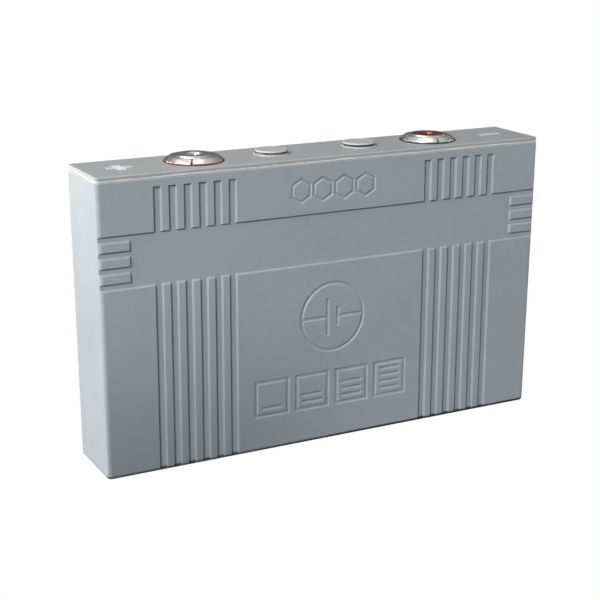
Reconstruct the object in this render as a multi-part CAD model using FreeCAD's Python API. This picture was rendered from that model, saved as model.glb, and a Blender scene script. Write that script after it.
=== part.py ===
"""Large prismatic lithium iron phosphate cell: plastic case, welded lid, round terminals, vent, plug.

Millimetres. X runs along the cell, Y through its thickness (front at -Y), Z up from the underside.
"""
import FreeCAD, Part
import math
import os
from FreeCAD import Vector

# Case and lid
CELL_LENGTH = 450.0
CELL_DEPTH = 71.0
SEAM_Z = 266.0
LID_Z = 270.0
CORNER_RADIUS = 4.2
BOTTOM_RADIUS = 3.2
END_DRAFT = 2.1
WALL = 5.0
FLOOR = 5.0
CAVITY_RADIUS = 3.0
LID_SETBACK = 0.3
LID_EDGE_RADIUS = 1.5
RIM_CLEARANCE = 0.3
RIM_THICKNESS = 3.0
RIM_BOTTOM_Z = 259.0
SEAM_CHAMFER_CASE = 1.4
SEAM_CHAMFER_LID = 0.9
WELD_INSET = 0.45
WELD_DEPTH = 0.9
WELD_HALF_HEIGHT = 0.85
WELD_EDGE_RADIUS = 0.4

# Relief on the two large faces
RELIEF_DEPTH = 2.0
RELIEF_SLOPE = 0.55
BAND_LOW_Z = 171.5
BAND_HIGH_Z = 219.25
SLOT_TOP_Z = 258.0
GROOVE_COUNT = 6
GROOVE_WIDTH = 7.7
GROOVE_FIRST_X = 96.3
GROOVE_LAST_X = 174.1
TAB_COUNT = 3
TAB_HEIGHT = 7.4
TAB_PITCH = 13.8
TAB_TOP_Z = 212.85
TAB_INNER_X = 196.5
ENGRAVE_DEPTH = 0.9
MARK_SLOPE = 0.9
OVERSHOOT = 1.0

# Generic engraved marks
HEX_COUNT = 4
HEX_PITCH = 22.0
HEX_RADIUS = 12.2
HEX_STROKE = 3.8
HEX_Z = 241.0
EMBLEM_Z = 120.0
EMBLEM_RADIUS = 34.0
EMBLEM_STROKE = 3.6
PLATE_GAP = 7.0
LONG_PLATE = 36.0
SHORT_PLATE = 18.0
GAUGE_COUNT = 4
GAUGE_PITCH = 41.7
GAUGE_SIZE = 36.0
GAUGE_STROKE = 3.8
GAUGE_Z = 50.5
GAUGE_BAR_HEIGHT = 3.4
GAUGE_BAR_PITCH = 6.6
GAUGE_BAR_MARGIN = 3.2
SIGN_X = 191.5
SIGN_LENGTH = 23.0
SIGN_STROKE = 8.0
SIGN_DEPTH = 0.9

# Terminals
TERMINAL_X = 121.0
POST_RADIUS = 15.0
POST_TOP_Z = 276.3
POST_CHAMFER = 0.5
LID_HOLE_RADIUS = 15.3
TAP_RADIUS = 6.0
TAP_BOTTOM_Z = 254.0
COUNTERSINK_RADIUS = 8.2
FLANGE_RADIUS = 22.0
FLANGE_LOW_Z = 257.5
SEAL_THICKNESS = 1.6
GASKET_RADIUS = 26.9
GASKET_THICKNESS = 0.9
NUT_BASE_RADIUS = 25.6
NUT_TOP_RADIUS = 21.7
NUT_TOP_Z = 275.0
NUT_SKIRT = 0.6
NUT_LIP_OUTER = 16.9
NUT_LIP_INNER = 15.5
NUT_LIP_Z = 276.2
NUT_LIP_LEAN = 0.4
NUT_BORE_RADIUS = 15.05
SPANNER_SLOTS = 4
SPANNER_WIDTH = 2.0
SPANNER_DEPTH = 2.4
POSITIVE_SLOT_ANGLE = 62.7
NEGATIVE_SLOT_ANGLE = 81.0

# Lug, foil tabs and clamps under each terminal
LUG_WIDTH = 44.0
LUG_THICKNESS = 10.0
LUG_LOW_Z = 241.5
TAB_FOIL_WIDTH = 40.0
TAB_FOIL_THICKNESS = 2.0
TAB_FOIL_TOP_Z = 253.0
CLAMP_THICKNESS = 3.0
CLAMP_LOW_Z = 243.5
CLAMP_HIGH_Z = 252.5
RIVET_Z = 248.0
RIVET_SPACING = 14.0
RIVET_RADIUS = 2.5
RIVET_HOLE_RADIUS = 2.55
RIVET_HEAD_RADIUS = 4.2
RIVET_HEAD_THICKNESS = 1.5

# Electrode stacks and insulators
STACK_COUNT = 4
STACK_LENGTH = 430.0
STACK_THICKNESS = 14.4
STACK_PITCH = 15.1
STACK_LOW_Z = 8.0
STACK_HIGH_Z = 230.0
WRAP_THICKNESS = 0.3
PAD_LENGTH = 436.0
PAD_DEPTH = 59.0
INSULATOR_LOW_Z = 231.0
INSULATOR_THICKNESS = 2.0
INSULATOR_WINDOW_LENGTH = 44.0
INSULATOR_WINDOW_DEPTH = 50.0
INSULATOR_PORT_RADIUS = 6.0
END_SPACER_THICKNESS = 4.2
END_SPACER_DEPTH = 52.0
END_SPACER_TOP_Z = 228.0

# Round caps: vent on the left, fill plug on the right
CAP_X = 45.5
CAP_RADIUS = 14.8
CAP_LOW_Z = 272.8
CAP_TOP_Z = 274.4
CAP_EDGE_RADIUS = 0.6
BOSS_RADIUS = 16.2
BOSS_TOP_Z = 271.2
BOSS_CHAMFER = 0.6
DIMPLE_RADIUS = 1.3
DIMPLE_DEPTH = 0.3

VENT_RADIUS = 13.0
VENT_HOLE_RADIUS = 13.05
VENT_BORE_RADIUS = 10.5
VENT_LOW_Z = 255.0
VENT_FLOOR = 3.0
VENT_FLANGE_RADIUS = 16.0
VENT_FLANGE_THICKNESS = 3.0
PORT_RADIUS = 4.0
SEAT_RADIUS = 5.5
SEAT_HEIGHT = 0.8
WINDOW_COUNT = 4
WINDOW_WIDTH = 5.0
WINDOW_HEIGHT = 1.1
WINDOW_SILL = 0.2
SPIGOT_RADIUS = 10.4
SPIGOT_LOW_Z = 270.5
SPIGOT_NOTCH_RADIUS = 8.5
SLEEVE_RADIUS = 4.0
SLEEVE_BORE = 2.58
SLEEVE_LOW_Z = 264.0
DISC_RADIUS = 8.5
DISC_THICKNESS = 1.8
DISC_SEAL_RADIUS = 7.0
DISC_SEAL_THICKNESS = 1.0
STEM_RADIUS = 2.5
STEM_TOP_Z = 268.0
SPRING_RADIUS = 6.0
SPRING_WIRE_RADIUS = 0.6
SPRING_TURNS = 4.0
SPRING_GAP = 0.05

PLUG_RADIUS = 8.0
PLUG_HOLE_RADIUS = 8.05
PLUG_LOW_Z = 261.0
PLUG_BOSS_RADIUS = 13.0
PLUG_BOSS_LOW_Z = 260.0
PLUG_NECK_RADIUS = 12.4
RING_RADIUS = 13.25

HALF_LENGTH = CELL_LENGTH / 2
HALF_DEPTH = CELL_DEPTH / 2
FLANGE_HIGH_Z = SEAM_Z - SEAL_THICKNESS
NUT_LOW_Z = LID_Z + GASKET_THICKNESS
VENT_X = -CAP_X
PLUG_X = CAP_X
SEAT_Z = VENT_LOW_Z + VENT_FLOOR + SEAT_HEIGHT
DISC_LOW_Z = SEAT_Z + DISC_SEAL_THICKNESS
DISC_TOP_Z = DISC_LOW_Z + DISC_THICKNESS
UP = Vector(0, 0, 1)


def block(x_low, x_high, y_low, y_high, z_low, z_high):
    """Plain box between two corners."""
    size = (x_high - x_low, y_high - y_low, z_high - z_low)
    return Part.makeBox(*size, Vector(x_low, y_low, z_low))


def centred_block(length, depth, z_low, z_high, x=0.0, y=0.0):
    """Box centred on a vertical line."""
    return block(x - length / 2, x + length / 2, y - depth / 2, y + depth / 2, z_low, z_high)


def vertical_edges(shape):
    """Straight edges that run along Z."""
    found = []
    for edge in shape.Edges:
        start, end = edge.Vertexes[0].Point, edge.Vertexes[-1].Point
        if abs(start.x - end.x) + abs(start.y - end.y) < 1e-6:
            found.append(edge)
    return found


def rounded_block(length, depth, z_low, z_high, radius):
    """Box centred on the origin with its four upright edges rounded."""
    plain = centred_block(length, depth, z_low, z_high)
    return plain.makeFillet(radius, vertical_edges(plain))


def disc(x, radius, z_low, z_high):
    """Upright cylinder."""
    return Part.makeCylinder(radius, z_high - z_low, Vector(x, 0, z_low), UP)


def ring(x, inner, outer, z_low, z_high):
    """Upright tube."""
    return disc(x, outer, z_low, z_high).cut(disc(x, inner, z_low - 1, z_high + 1))


def turned(x, profile):
    """Solid of revolution about the upright line at x, from (radius, height) corners."""
    corners = [Vector(radius, 0, height) for radius, height in profile]
    face = Part.Face(Part.makePolygon(corners + [corners[0]]))
    solid = face.revolve(Vector(0, 0, 0), UP, 360)
    solid.translate(Vector(x, 0, 0))
    return solid


def edges_at_height(shape, height):
    """Edges that lie wholly at one height."""
    found = []
    for edge in shape.Edges:
        if abs(edge.BoundBox.ZMin - height) < 1e-6 and abs(edge.BoundBox.ZMax - height) < 1e-6:
            found.append(edge)
    return found


def rectangle(x_low, x_high, z_low, z_high):
    """Outline of a rectangle on the front face, as a function of how much it is grown."""
    def corners(growth):
        return [
            (x_low - growth, z_low - growth),
            (x_high + growth, z_low - growth),
            (x_high + growth, z_high + growth),
            (x_low - growth, z_high + growth),
        ]
    return corners


def hexagon(x, z, radius):
    """Outline of an upright hexagon on the front face, as a function of how much it is grown."""
    def corners(growth):
        reach = radius + growth / math.cos(math.pi / 6)
        angles = [math.radians(30 + 60 * step) for step in range(6)]
        return [(x + reach * math.cos(a), z + reach * math.sin(a)) for a in angles]
    return corners


def sloped_prism(outline, slope, depth):
    """Solid across the front plane, whose outline at that plane is as given.

    With a positive slope it narrows on its way in, with a negative one it widens.
    """
    layers = []
    for inward in (-OVERSHOOT, depth):
        y = -HALF_DEPTH + inward
        layers.append([Vector(x, y, z) for x, z in outline(-slope * inward)])
    outer, inner = layers
    loops = [outer, inner]
    for here in range(len(outer)):
        after = (here + 1) % len(outer)
        loops.append([outer[here], outer[after], inner[after], inner[here]])
    faces = [Part.Face(Part.makePolygon(loop + [loop[0]])) for loop in loops]
    return Part.Solid(Part.Shell(faces))


def mark_pit(outline):
    """Engraving cutter with leaning walls."""
    return sloped_prism(outline, MARK_SLOPE, ENGRAVE_DEPTH)


def mark_island(outline):
    """What an engraving leaves standing inside it."""
    return sloped_prism(outline, -MARK_SLOPE, ENGRAVE_DEPTH + OVERSHOOT)


def mark_cone(radius, slope, depth):
    """Round cutter about the emblem's centre."""
    start = Vector(0, -HALF_DEPTH - OVERSHOOT, EMBLEM_Z)
    outer_radius = radius + slope * OVERSHOOT
    inner_radius = radius - slope * depth
    return Part.makeCone(outer_radius, inner_radius, depth + OVERSHOOT, start, Vector(0, 1, 0))


def both_ways(cutter):
    """A front cutter and its copy turned half round onto the back face."""
    back = cutter.copy()
    back.rotate(Vector(0, 0, 0), UP, 180)
    return [cutter, back]


def groove_spans():
    """Outer x limits of every slot on one face, both groups."""
    pitch = (GROOVE_LAST_X - GROOVE_FIRST_X - GROOVE_WIDTH) / (GROOVE_COUNT - 1)
    spans = []
    for index in range(GROOVE_COUNT):
        inner = GROOVE_FIRST_X + index * pitch
        spans.append((inner, inner + GROOVE_WIDTH))
        spans.append((-inner - GROOVE_WIDTH, -inner))
    return spans


def relief_pit(x_low, x_high, z_low, z_high):
    """One straight-sided piece of the front recess."""
    return sloped_prism(rectangle(x_low, x_high, z_low, z_high), RELIEF_SLOPE, RELIEF_DEPTH)


def relief_cutter():
    """Front recess: the band round the case, and the slots that run up and down from it."""
    beyond = HALF_LENGTH + 6
    cutter = relief_pit(-beyond, beyond, BAND_LOW_Z, BAND_HIGH_Z)
    for x_low, x_high in groove_spans():
        slot = relief_pit(x_low, x_high, BAND_HIGH_Z - 6, SLOT_TOP_Z)
        groove = relief_pit(x_low, x_high, -8, BAND_LOW_Z + 6)
        cutter = cutter.fuse([slot, groove])
    tabs = []
    for index in range(TAB_COUNT):
        top = TAB_TOP_Z - index * TAB_PITCH
        for side in (-1, 1):
            x_low, x_high = sorted((side * TAB_INNER_X, side * (beyond + 8)))
            outline = rectangle(x_low, x_high, top - TAB_HEIGHT, top)
            tabs.append(sloped_prism(outline, -RELIEF_SLOPE, RELIEF_DEPTH + OVERSHOOT))
    return cutter.cut(tabs).removeSplitter()


def hexagon_marks():
    """Row of open hexagons, one per stack."""
    marks = []
    for index in range(HEX_COUNT):
        x = (index - (HEX_COUNT - 1) / 2) * HEX_PITCH
        pit = mark_pit(hexagon(x, HEX_Z, HEX_RADIUS))
        marks.append(pit.cut(mark_island(hexagon(x, HEX_Z, HEX_RADIUS - HEX_STROKE))))
    return marks


def emblem_marks():
    """The circuit sign for a cell inside a ring."""
    inner_radius = EMBLEM_RADIUS - EMBLEM_STROKE
    island = mark_cone(inner_radius, -MARK_SLOPE, ENGRAVE_DEPTH + OVERSHOOT)
    sign = mark_cone(EMBLEM_RADIUS, MARK_SLOPE, ENGRAVE_DEPTH).cut(island)
    near, far = PLATE_GAP / 2, PLATE_GAP / 2 + EMBLEM_STROKE
    half_stroke = EMBLEM_STROKE / 2
    lead_end = inner_radius + EMBLEM_STROKE / 2
    lead_start = far - EMBLEM_STROKE / 2
    strokes = [
        rectangle(-far, -near, EMBLEM_Z - LONG_PLATE / 2, EMBLEM_Z + LONG_PLATE / 2),
        rectangle(near, far, EMBLEM_Z - SHORT_PLATE / 2, EMBLEM_Z + SHORT_PLATE / 2),
        rectangle(-lead_end, -lead_start, EMBLEM_Z - half_stroke, EMBLEM_Z + half_stroke),
        rectangle(lead_start, lead_end, EMBLEM_Z - half_stroke, EMBLEM_Z + half_stroke),
    ]
    return [sign.fuse([mark_pit(stroke) for stroke in strokes]).removeSplitter()]


def gauge_marks():
    """Four square charge gauges, each one bar fuller than the last."""
    marks = []
    half = GAUGE_SIZE / 2
    inner = half - GAUGE_STROKE
    reach = inner - GAUGE_BAR_MARGIN
    for index in range(GAUGE_COUNT):
        x = (index - (GAUGE_COUNT - 1) / 2) * GAUGE_PITCH
        pit = mark_pit(rectangle(x - half, x + half, GAUGE_Z - half, GAUGE_Z + half))
        island = mark_island(rectangle(x - inner, x + inner, GAUGE_Z - inner, GAUGE_Z + inner))
        marks.append(pit.cut(island))
        for bar in range(index + 1):
            low = GAUGE_Z - reach + bar * GAUGE_BAR_PITCH
            marks.append(mark_pit(rectangle(x - reach, x + reach, low, low + GAUGE_BAR_HEIGHT)))
    return marks


def case_blank():
    """Solid case block whose end walls lean in a little towards the bottom."""
    foot = HALF_LENGTH - END_DRAFT
    outline = [(-foot, 0), (foot, 0), (HALF_LENGTH, SEAM_Z), (-HALF_LENGTH, SEAM_Z)]
    corners = [Vector(x, -HALF_DEPTH, z) for x, z in outline]
    face = Part.Face(Part.makePolygon(corners + [corners[0]]))
    blank = face.extrude(Vector(0, CELL_DEPTH, 0))
    upright = [edge for edge in blank.Edges if edge.BoundBox.ZLength > SEAM_Z / 2]
    return blank.makeFillet(CORNER_RADIUS, upright)


def make_case_body():
    """Open-topped moulded box with the relief and marks cut into both large faces."""
    body = case_blank()
    body = body.makeFillet(BOTTOM_RADIUS, edges_at_height(body, 0))
    body = body.makeChamfer(SEAM_CHAMFER_CASE, edges_at_height(body, SEAM_Z))
    cavity_length = CELL_LENGTH - 2 * WALL
    cavity_depth = CELL_DEPTH - 2 * WALL
    cavity = rounded_block(cavity_length, cavity_depth, FLOOR, SEAM_Z + 1, CAVITY_RADIUS)
    cutters = [cavity]
    for cutter in [relief_cutter()] + hexagon_marks() + emblem_marks() + gauge_marks():
        cutters += both_ways(cutter)
    return body.cut(cutters)


def sign_bar(x, length, width):
    """Cutter for one stroke of a polarity sign in the lid's top."""
    return centred_block(length, width, LID_Z - SIGN_DEPTH, LID_Z + 1, x)


def make_lid():
    """Lid plate with its locating rim, the two cap bosses and the polarity signs."""
    length = CELL_LENGTH - 2 * LID_SETBACK
    depth = CELL_DEPTH - 2 * LID_SETBACK
    plate = rounded_block(length, depth, SEAM_Z, LID_Z, CORNER_RADIUS - LID_SETBACK)
    plate = plate.makeFillet(LID_EDGE_RADIUS, edges_at_height(plate, LID_Z))
    plate = plate.makeChamfer(SEAM_CHAMFER_LID, edges_at_height(plate, SEAM_Z))
    rim_length = CELL_LENGTH - 2 * (WALL + RIM_CLEARANCE)
    rim_depth = CELL_DEPTH - 2 * (WALL + RIM_CLEARANCE)
    rim = rounded_block(rim_length, rim_depth, RIM_BOTTOM_Z, SEAM_Z, CAVITY_RADIUS)
    hollow_length = rim_length - 2 * RIM_THICKNESS
    hollow_depth = rim_depth - 2 * RIM_THICKNESS
    rim = rim.cut(centred_block(hollow_length, hollow_depth, RIM_BOTTOM_Z - 1, SEAM_Z))
    lid = plate.fuse([rim, disc(PLUG_X, PLUG_BOSS_RADIUS, PLUG_BOSS_LOW_Z, SEAM_Z)])
    for x in (VENT_X, PLUG_X):
        slope_radius = BOSS_RADIUS - BOSS_CHAMFER
        corners = [(0, LID_Z - 1), (BOSS_RADIUS, LID_Z - 1), (BOSS_RADIUS, BOSS_TOP_Z - BOSS_CHAMFER)]
        lid = lid.fuse(turned(x, corners + [(slope_radius, BOSS_TOP_Z), (0, BOSS_TOP_Z)]))
    cutters = []
    for x in (-TERMINAL_X, TERMINAL_X):
        cutters.append(disc(x, LID_HOLE_RADIUS, SEAM_Z - 1, LID_Z + 1))
    cutters.append(disc(VENT_X, VENT_HOLE_RADIUS, SEAM_Z - 1, BOSS_TOP_Z + 1))
    cutters.append(disc(PLUG_X, PLUG_HOLE_RADIUS, PLUG_BOSS_LOW_Z - 1, BOSS_TOP_Z + 1))
    plus_upright = sign_bar(-SIGN_X, SIGN_STROKE, SIGN_LENGTH)
    cutters.append(sign_bar(-SIGN_X, SIGN_LENGTH, SIGN_STROKE).fuse(plus_upright))
    cutters.append(sign_bar(SIGN_X, SIGN_LENGTH, SIGN_STROKE))
    return lid.cut(cutters).removeSplitter()


def make_lid_weld(case_body, lid):
    """Weld bead at the bottom of the groove between the case and the lid."""
    low, high = SEAM_Z - WELD_HALF_HEIGHT, SEAM_Z + WELD_HALF_HEIGHT
    length, depth = CELL_LENGTH - 2 * WELD_INSET, CELL_DEPTH - 2 * WELD_INSET
    outer = rounded_block(length, depth, low, high, CORNER_RADIUS - WELD_INSET)
    rims = edges_at_height(outer, low) + edges_at_height(outer, high)
    outer = outer.makeFillet(WELD_EDGE_RADIUS, rims)
    inset = 2 * WELD_DEPTH
    inner_radius = CORNER_RADIUS - WELD_INSET - WELD_DEPTH
    inner = rounded_block(length - inset, depth - inset, low - 1, high + 1, inner_radius)
    return outer.cut([inner, case_body, lid])


def rivet_places(x):
    """Rivet x positions across one lug."""
    return [x + step * RIVET_SPACING for step in (-1, 0, 1)]


def rivet_hole(x, half_width):
    """Clearance hole along Y for one rivet."""
    start = Vector(x, -half_width, RIVET_Z)
    return Part.makeCylinder(RIVET_HOLE_RADIUS, 2 * half_width, start, Vector(0, 1, 0))


def drilled(shape, x):
    """Shape with the three rivet holes of the lug at x."""
    return shape.cut([rivet_hole(place, 30) for place in rivet_places(x)])


def make_terminal(x):
    """Terminal post with its sealing flange, tapped hole and the lug below it."""
    post = turned(x, [
        (0, FLANGE_LOW_Z),
        (FLANGE_RADIUS, FLANGE_LOW_Z),
        (FLANGE_RADIUS, FLANGE_HIGH_Z),
        (POST_RADIUS, FLANGE_HIGH_Z),
        (POST_RADIUS, POST_TOP_Z - POST_CHAMFER),
        (POST_RADIUS - POST_CHAMFER, POST_TOP_Z),
        (0, POST_TOP_Z),
    ])
    lug = centred_block(LUG_WIDTH, LUG_THICKNESS, LUG_LOW_Z, FLANGE_LOW_Z + 1, x)
    hole = disc(x, TAP_RADIUS, TAP_BOTTOM_Z, POST_TOP_Z + 1)
    sink_depth = COUNTERSINK_RADIUS - TAP_RADIUS
    sink_place = Vector(x, 0, POST_TOP_Z - sink_depth)
    sink = Part.makeCone(TAP_RADIUS, COUNTERSINK_RADIUS, sink_depth, sink_place, UP)
    return drilled(post.fuse(lug).cut([hole, sink]), x)


def make_nut(x, slot_angle):
    """Low conical ring nut with a raised inner lip and spanner slots in its side."""
    nut = turned(x, [
        (NUT_BORE_RADIUS, NUT_LOW_Z),
        (NUT_BASE_RADIUS, NUT_LOW_Z),
        (NUT_BASE_RADIUS, NUT_LOW_Z + NUT_SKIRT),
        (NUT_TOP_RADIUS, NUT_TOP_Z),
        (NUT_LIP_OUTER, NUT_TOP_Z),
        (NUT_LIP_OUTER - NUT_LIP_LEAN, NUT_LIP_Z),
        (NUT_LIP_INNER, NUT_LIP_Z),
        (NUT_BORE_RADIUS, NUT_LIP_Z - NUT_LIP_LEAN),
    ])
    slots = []
    start, end = NUT_TOP_RADIUS - SPANNER_DEPTH / 2, NUT_BASE_RADIUS + 1
    half = SPANNER_WIDTH / 2
    for step in range(SPANNER_SLOTS):
        slot = block(start, end, -half, half, NUT_LOW_Z - 1, NUT_LIP_Z)
        slot.rotate(Vector(0, 0, 0), UP, slot_angle + step * 360 / SPANNER_SLOTS)
        slot.translate(Vector(x, 0, 0))
        slots.append(slot)
    return nut.cut(slots)


def make_gasket(x):
    """Coloured polarity gasket under a ring nut."""
    return ring(x, LID_HOLE_RADIUS, GASKET_RADIUS, LID_Z, NUT_LOW_Z)


def make_inner_seal(x):
    """Flat rubber seal between the terminal flange and the lid's underside."""
    return ring(x, LID_HOLE_RADIUS, FLANGE_RADIUS, FLANGE_HIGH_Z, SEAM_Z)


def stack_y(index):
    """Middle plane of one electrode stack."""
    return (index - (STACK_COUNT - 1) / 2) * STACK_PITCH


def make_stack(index):
    """One block of stacked electrode sheets and separators."""
    return centred_block(STACK_LENGTH, STACK_THICKNESS, STACK_LOW_Z, STACK_HIGH_Z, 0, stack_y(index))


def make_wrap(index):
    """Insulating film sleeve round one stack."""
    length = STACK_LENGTH + 2 * WRAP_THICKNESS
    depth = STACK_THICKNESS + 2 * WRAP_THICKNESS
    y = stack_y(index)
    sleeve = centred_block(length, depth, STACK_LOW_Z, STACK_HIGH_Z, 0, y)
    hollow = centred_block(STACK_LENGTH, STACK_THICKNESS, STACK_LOW_Z - 1, STACK_HIGH_Z + 1, 0, y)
    return sleeve.cut(hollow)


def make_foil_tab(index, x):
    """Bundle of tab foils from the top of one stack to the side of the lug."""
    start_y = stack_y(index)
    side = math.copysign(1, start_y)
    half = TAB_FOIL_THICKNESS / 2
    lug_face = LUG_THICKNESS / 2
    is_outer = abs(start_y) > STACK_PITCH
    end_y = side * (lug_face + (3 * half if is_outer else half))
    foot_y = start_y if is_outer else end_y
    knee_low, knee_high = STACK_HIGH_Z + 4, CLAMP_LOW_Z - 2
    path = [(foot_y, STACK_HIGH_Z), (foot_y, knee_low), (end_y, knee_high), (end_y, TAB_FOIL_TOP_Z)]
    outline = [(y - half, z) for y, z in path] + [(y + half, z) for y, z in reversed(path)]
    x_low = x - TAB_FOIL_WIDTH / 2
    corners = [Vector(x_low, y, z) for y, z in outline]
    face = Part.Face(Part.makePolygon(corners + [corners[0]]))
    return drilled(face.extrude(Vector(TAB_FOIL_WIDTH, 0, 0)), x)


def clamp_inner_y():
    """Distance of the clamp plates from the middle plane."""
    return LUG_THICKNESS / 2 + 2 * TAB_FOIL_THICKNESS


def make_clamp_plates(x):
    """The two bars that press the foil bundles against the lug."""
    plates = []
    for side in (-1, 1):
        y = side * (clamp_inner_y() + CLAMP_THICKNESS / 2)
        plate = centred_block(TAB_FOIL_WIDTH, CLAMP_THICKNESS, CLAMP_LOW_Z, CLAMP_HIGH_Z, x, y)
        plates.append(drilled(plate, x))
    return Part.makeCompound(plates)


def make_rivets(x):
    """Three through rivets with a head on each side."""
    grip = clamp_inner_y() + CLAMP_THICKNESS
    along = Vector(0, 1, 0)
    rivets = []
    for place in rivet_places(x):
        shank = Part.makeCylinder(RIVET_RADIUS, 2 * grip, Vector(place, -grip, RIVET_Z), along)
        heads = []
        for start in (-grip - RIVET_HEAD_THICKNESS, grip):
            head_place = Vector(place, start, RIVET_Z)
            heads.append(Part.makeCylinder(RIVET_HEAD_RADIUS, RIVET_HEAD_THICKNESS, head_place, along))
        rivets.append(shank.fuse(heads).removeSplitter())
    return Part.makeCompound(rivets)


def make_bottom_pad():
    """Pad that carries the stacks."""
    return centred_block(PAD_LENGTH, PAD_DEPTH, FLOOR, STACK_LOW_Z)


def make_end_spacers():
    """Pads between the stack ends and the end walls."""
    inner = STACK_LENGTH / 2 + WRAP_THICKNESS + 0.2
    middle = inner + END_SPACER_THICKNESS / 2
    pads = []
    for x in (-middle, middle):
        low = STACK_LOW_Z + 0.2
        pads.append(centred_block(END_SPACER_THICKNESS, END_SPACER_DEPTH, low, END_SPACER_TOP_Z, x))
    return Part.makeCompound(pads)


def make_top_insulator():
    """Plate over the stacks with windows for the tabs and ports under the caps."""
    high = INSULATOR_LOW_Z + INSULATOR_THICKNESS
    plate = centred_block(PAD_LENGTH, PAD_DEPTH, INSULATOR_LOW_Z, high)
    cutters = []
    for x in (-TERMINAL_X, TERMINAL_X):
        window = (INSULATOR_WINDOW_LENGTH, INSULATOR_WINDOW_DEPTH)
        cutters.append(centred_block(*window, INSULATOR_LOW_Z - 1, high + 1, x))
    for x in (VENT_X, PLUG_X):
        cutters.append(disc(x, INSULATOR_PORT_RADIUS, INSULATOR_LOW_Z - 1, high + 1))
    return plate.cut(cutters)


def cap_disc(x):
    """Flat round cap head with an eased edge and a small centre dimple."""
    head = disc(x, CAP_RADIUS, CAP_LOW_Z, CAP_TOP_Z)
    head = head.makeFillet(CAP_EDGE_RADIUS, edges_at_height(head, CAP_TOP_Z))
    return head.cut(disc(x, DIMPLE_RADIUS, CAP_TOP_Z - DIMPLE_DEPTH, CAP_TOP_Z + 1))


def window_blocks(radius_low, radius_high, z_low, z_high):
    """Radial blocks, one per gas window, about the vent's axis."""
    blocks = []
    for step in range(WINDOW_COUNT):
        piece = block(radius_low, radius_high, -WINDOW_WIDTH / 2, WINDOW_WIDTH / 2, z_low, z_high)
        piece.rotate(Vector(0, 0, 0), UP, 45 + step * 360 / WINDOW_COUNT)
        piece.translate(Vector(VENT_X, 0, 0))
        blocks.append(piece)
    return blocks


def make_vent_body():
    """Vent cup welded into the lid: port and valve seat at the bottom, gas windows at the top."""
    flange_low = SEAM_Z - VENT_FLANGE_THICKNESS
    cup_floor = VENT_LOW_Z + VENT_FLOOR
    cup = turned(VENT_X, [
        (PORT_RADIUS, VENT_LOW_Z),
        (VENT_RADIUS, VENT_LOW_Z),
        (VENT_RADIUS, flange_low),
        (VENT_FLANGE_RADIUS, flange_low),
        (VENT_FLANGE_RADIUS, SEAM_Z),
        (VENT_RADIUS, SEAM_Z),
        (VENT_RADIUS, CAP_LOW_Z),
        (VENT_BORE_RADIUS, CAP_LOW_Z),
        (VENT_BORE_RADIUS, cup_floor),
        (SEAT_RADIUS, cup_floor),
        (SEAT_RADIUS, SEAT_Z),
        (PORT_RADIUS, SEAT_Z),
    ])
    window_low = BOSS_TOP_Z + WINDOW_SILL
    window_high = window_low + WINDOW_HEIGHT
    return cup.cut(window_blocks(VENT_BORE_RADIUS - 2, VENT_RADIUS + 1, window_low, window_high))


def make_vent_cap():
    """Cap pressed into the cup, notched for the gas and with a guide sleeve for the valve stem."""
    spigot = disc(VENT_X, SPIGOT_RADIUS, SPIGOT_LOW_Z, CAP_LOW_Z)
    spigot = spigot.cut(window_blocks(SPIGOT_NOTCH_RADIUS, SPIGOT_RADIUS + 1, SPIGOT_LOW_Z - 1, CAP_LOW_Z))
    sleeve = disc(VENT_X, SLEEVE_RADIUS, SLEEVE_LOW_Z, SPIGOT_LOW_Z)
    cap = cap_disc(VENT_X).fuse([spigot, sleeve])
    return cap.cut(disc(VENT_X, SLEEVE_BORE, SLEEVE_LOW_Z - 1, SPIGOT_LOW_Z + 0.5)).removeSplitter()


def make_vent_disc():
    """Valve disc with its guide stem."""
    return turned(VENT_X, [
        (0, DISC_LOW_Z),
        (DISC_RADIUS, DISC_LOW_Z),
        (DISC_RADIUS, DISC_TOP_Z),
        (STEM_RADIUS, DISC_TOP_Z),
        (STEM_RADIUS, STEM_TOP_Z),
        (0, STEM_TOP_Z),
    ])


def make_vent_disc_seal():
    """Rubber facing under the valve disc."""
    return disc(VENT_X, DISC_SEAL_RADIUS, SEAT_Z, DISC_LOW_Z)


def make_vent_spring():
    """Compression spring between the valve disc and the cap."""
    low = DISC_TOP_Z + SPRING_WIRE_RADIUS + SPRING_GAP
    high = SPIGOT_LOW_Z - SPRING_WIRE_RADIUS - SPRING_GAP
    path = Part.makeHelix((high - low) / SPRING_TURNS, high - low, SPRING_RADIUS)
    start = Vector(SPRING_RADIUS, 0, 0)
    section = Part.Wire([Part.makeCircle(SPRING_WIRE_RADIUS, start, Vector(0, 1, 0))])
    wire = Part.Wire(path).makePipeShell([section], True, False)
    wire.translate(Vector(VENT_X, 0, low))
    return wire


def make_fill_plug():
    """Screw plug for the filling hole, with the same head as the vent cap."""
    shank = disc(PLUG_X, PLUG_RADIUS, PLUG_LOW_Z, BOSS_TOP_Z)
    neck = disc(PLUG_X, PLUG_NECK_RADIUS, BOSS_TOP_Z, CAP_LOW_Z)
    return cap_disc(PLUG_X).fuse([shank, neck]).removeSplitter()


def make_fill_plug_ring():
    """Rubber ring squeezed under the plug's head."""
    thickness = CAP_LOW_Z - BOSS_TOP_Z
    middle = Vector(PLUG_X, 0, BOSS_TOP_Z + thickness / 2)
    return Part.makeTorus(RING_RADIUS, thickness / 2, middle, UP)


def save(name, shape):
    """Writes one node."""
    shape.exportStep(os.path.join("parts", name + ".step"))


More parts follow.
